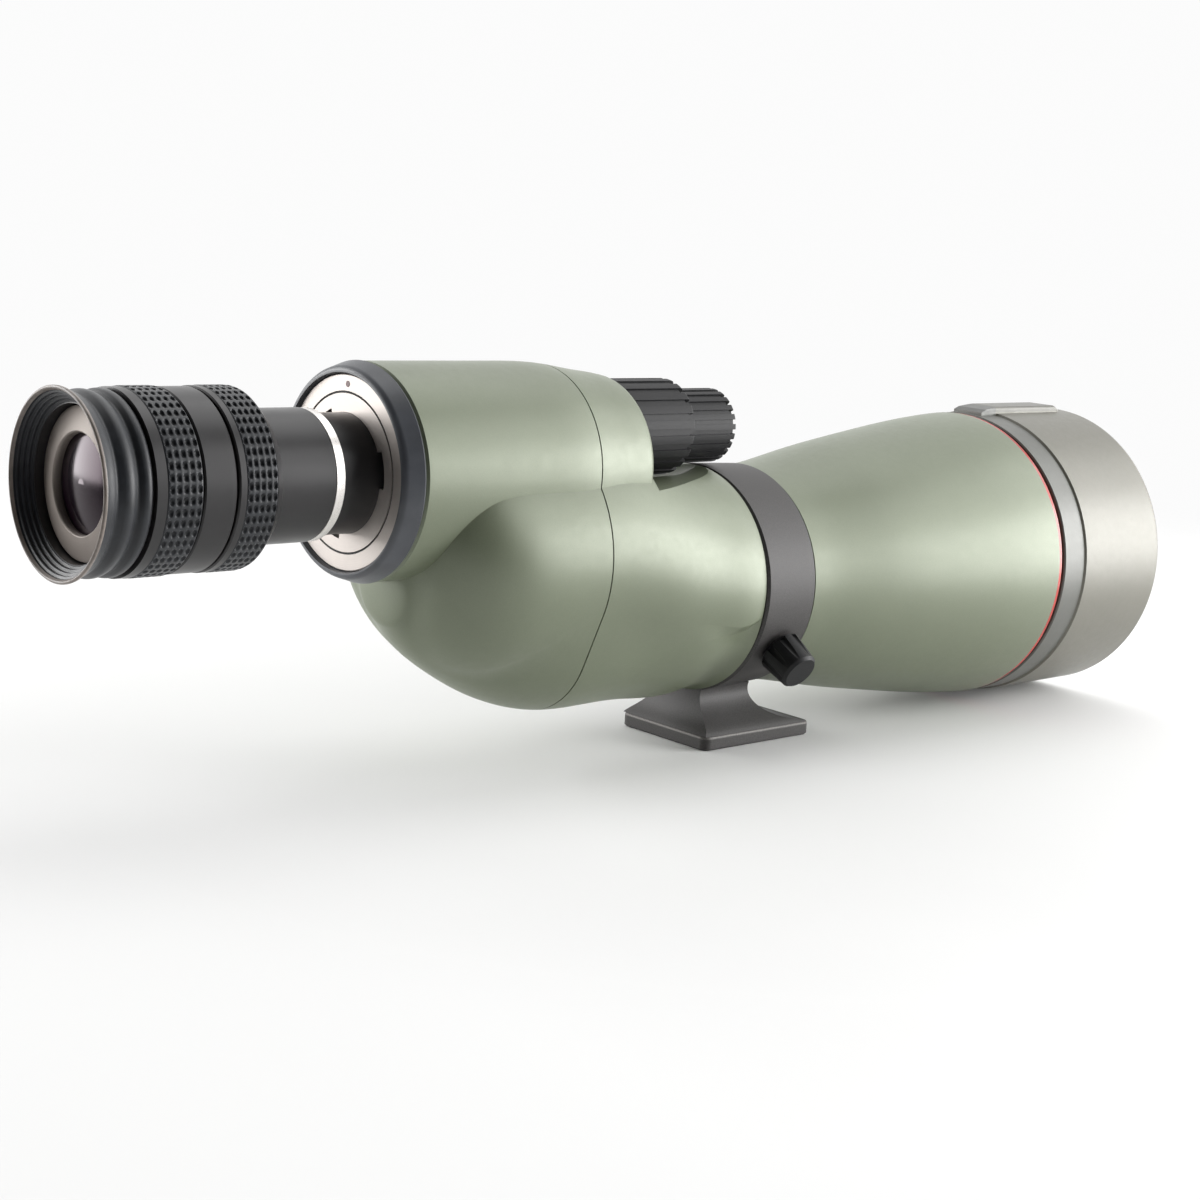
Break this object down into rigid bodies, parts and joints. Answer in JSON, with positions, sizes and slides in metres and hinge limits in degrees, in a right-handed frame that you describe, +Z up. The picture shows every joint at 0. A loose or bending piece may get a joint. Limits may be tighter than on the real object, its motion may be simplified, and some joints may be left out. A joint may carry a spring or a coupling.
{
  "type": "spotting scope",
  "caption": "Straight spotting scope: bulged prism casing, flared barrel with sliding hood, rotating tripod collar and foot, dual focus knobs, bayonet zoom eyepiece with twist-up eyecup.",
  "frame": {"origin": "mouth of the tripod thread, in the middle of the foot's bottom face", "axes": "+X along the optical axis towards the objective, +Z up, Y is the symmetry axis of the casings"},
  "size_m": [0.4326, 0.107, 0.1273],
  "materials": {
    "casing_paint": "fine satin",
    "hood_paint": "fine satin",
    "collar_paint": "fine matt texture",
    "trim_red": "gloss",
    "knob_plastic": "satin",
    "grip_rubber": "matt",
    "black_anodised": "satin anodised",
    "bright_metal": "satin",
    "steel": "bright",
    "bronze": "machined",
    "nylon": "matt",
    "coated_glass": "anti-reflection coated",
    "clear_glass": "polished"
  },
  "bodies": {
    "collar": {"tripod_collar": "collar_paint", "tripod_thread_insert": "steel"},
    "lock_pad": {"collar_lock_pad": "nylon"},
    "lock_knob": {"collar_lock_knob": "knob_plastic", "collar_lock_screw": "steel"},
    "scope_body": {"rear_casing": "casing_paint", "front_casing": "casing_paint", "casing_gasket": "nylon", "front_barrel": "casing_paint", "trim_ring": "trim_red", "barrel_baffle": "black_anodised", "objective_cell": "black_anodised", "objective_spacers": "black_anodised", "objective_retaining_ring": "black_anodised", "objective_rear_lens": "clear_glass", "objective_middle_lens": "clear_glass", "objective_front_lens": "coated_glass", "focus_bush": "bronze", "focus_frame": "black_anodised", "focus_guide_rods": "steel", "prism_plate": "black_anodised", "prism_clamp_bars": "steel", "prism_clamp_screws": "steel", "entry_prism": "clear_glass", "exit_prism": "clear_glass", "mount_cover_ring": "black_anodised", "mount_flange": "bright_metal", "index_dot": "trim_red", "bayonet_ring": "bright_metal"},
    "hood": {"lens_hood": "hood_paint", "hood_guide_ring": "nylon"},
    "coarse_focus": {"coarse_focus_knob": "knob_plastic", "focus_screw": "steel"},
    "fine_focus": {"fine_focus_knob": "knob_plastic", "fine_focus_shaft": "steel"},
    "focus_cell": {"focus_carriage": "black_anodised", "focusing_lens": "clear_glass"},
    "release": {"release_button": "knob_plastic"},
    "eyepiece": {"bayonet_neck": "black_anodised", "neck_ring": "bright_metal", "eyepiece_tube": "black_anodised", "scale_ring": "black_anodised", "zoom_guide_tube": "black_anodised", "eye_lens_retainer": "bright_metal", "field_stop": "black_anodised", "eye_lens": "coated_glass", "inner_eye_lens": "clear_glass", "field_lens": "clear_glass"},
    "zoom": {"zoom_ring": "black_anodised", "zoom_grip": "grip_rubber", "zoom_cam_tube": "black_anodised", "zoom_key_screw": "steel"},
    "rear_zoom_group": {"rear_zoom_cell": "black_anodised", "rear_zoom_lens": "clear_glass"},
    "front_zoom_group": {"front_zoom_cell": "black_anodised", "front_zoom_lens": "clear_glass"},
    "eyecup_guide": {"eyecup_cam_ring": "black_anodised"},
    "eyecup": {"eyecup_sleeve": "black_anodised", "eyecup_grip": "grip_rubber", "eyecup_rubber": "grip_rubber"}
  },
  "joints": [
    {"name": "collar_rotation", "type": "hinge", "parent": "collar", "child": "scope_body", "pos_m": [-0.00735, 0, 0.055], "axis": [1, 0, 0], "range_deg": [-90, 90]},
    {"name": "lock_pad_slide", "type": "slide", "parent": "collar", "child": "lock_pad", "axis": [0, -0.866, -0.5], "range_m": [0, 0.00075]},
    {"name": "lock_knob_turn", "type": "hinge", "parent": "lock_pad", "child": "lock_knob", "pos_m": [-0.00715, 0, 0.055], "axis": [0, -0.866, -0.5], "range_deg": [0, 270]},
    {"name": "hood_slide", "type": "slide", "parent": "scope_body", "child": "hood", "axis": [1, 0, 0], "range_m": [0, 0.038]},
    {"name": "coarse_focus_turn", "type": "hinge", "parent": "scope_body", "child": "coarse_focus", "pos_m": [-0.04935, 0, 0.106], "axis": [1, 0, 0], "range_deg": [-150, 150]},
    {"name": "fine_focus_turn", "type": "hinge", "parent": "coarse_focus", "child": "fine_focus", "pos_m": [-0.02435, 0, 0.106], "axis": [1, 0, 0], "range_deg": [-360, 360]},
    {"name": "focus_cell_slide", "type": "slide", "parent": "scope_body", "child": "focus_cell", "axis": [1, 0, 0], "range_m": [-0.005, 0.005]},
    {"name": "release_press", "type": "slide", "parent": "scope_body", "child": "release", "axis": [0, -1, 0], "range_m": [0, 0.0018], "stiffness_N_per_m": 500},
    {"name": "eyepiece_turn", "type": "hinge", "parent": "scope_body", "child": "eyepiece", "pos_m": [-0.15935, 0, 0.0951], "axis": [-1, 0, 0], "range_deg": [0, 40]},
    {"name": "zoom_turn", "type": "hinge", "parent": "eyepiece", "child": "zoom", "pos_m": [-0.20435, 0, 0.0951], "axis": [-1, 0, 0], "range_deg": [0, 110]},
    {"name": "rear_zoom_slide", "type": "slide", "parent": "eyepiece", "child": "rear_zoom_group", "axis": [1, 0, 0], "range_m": [0, 0.008]},
    {"name": "front_zoom_slide", "type": "slide", "parent": "eyepiece", "child": "front_zoom_group", "axis": [1, 0, 0], "range_m": [-0.007, 0]},
    {"name": "eyecup_turn", "type": "hinge", "parent": "eyepiece", "child": "eyecup_guide", "pos_m": [-0.23135, 0, 0.0951], "axis": [-1, 0, 0], "range_deg": [0, 120]},
    {"name": "eyecup_slide", "type": "slide", "parent": "eyecup_guide", "child": "eyecup", "axis": [-1, 0, 0], "range_m": [0, 0.01]}
  ],
  "couplings": [
    {"joint": "lock_knob_turn", "follows": "lock_pad_slide", "rad_per_m": 6283.2},
    {"joint": "coarse_focus_turn", "follows": "focus_cell_slide", "rad_per_m": 523.6},
    {"joint": "zoom_turn", "follows": "rear_zoom_slide", "rad_per_m": 239.98},
    {"joint": "front_zoom_slide", "follows": "rear_zoom_slide", "ratio": -0.875},
    {"joint": "eyecup_turn", "follows": "eyecup_slide", "rad_per_m": 209.44}
  ]
}
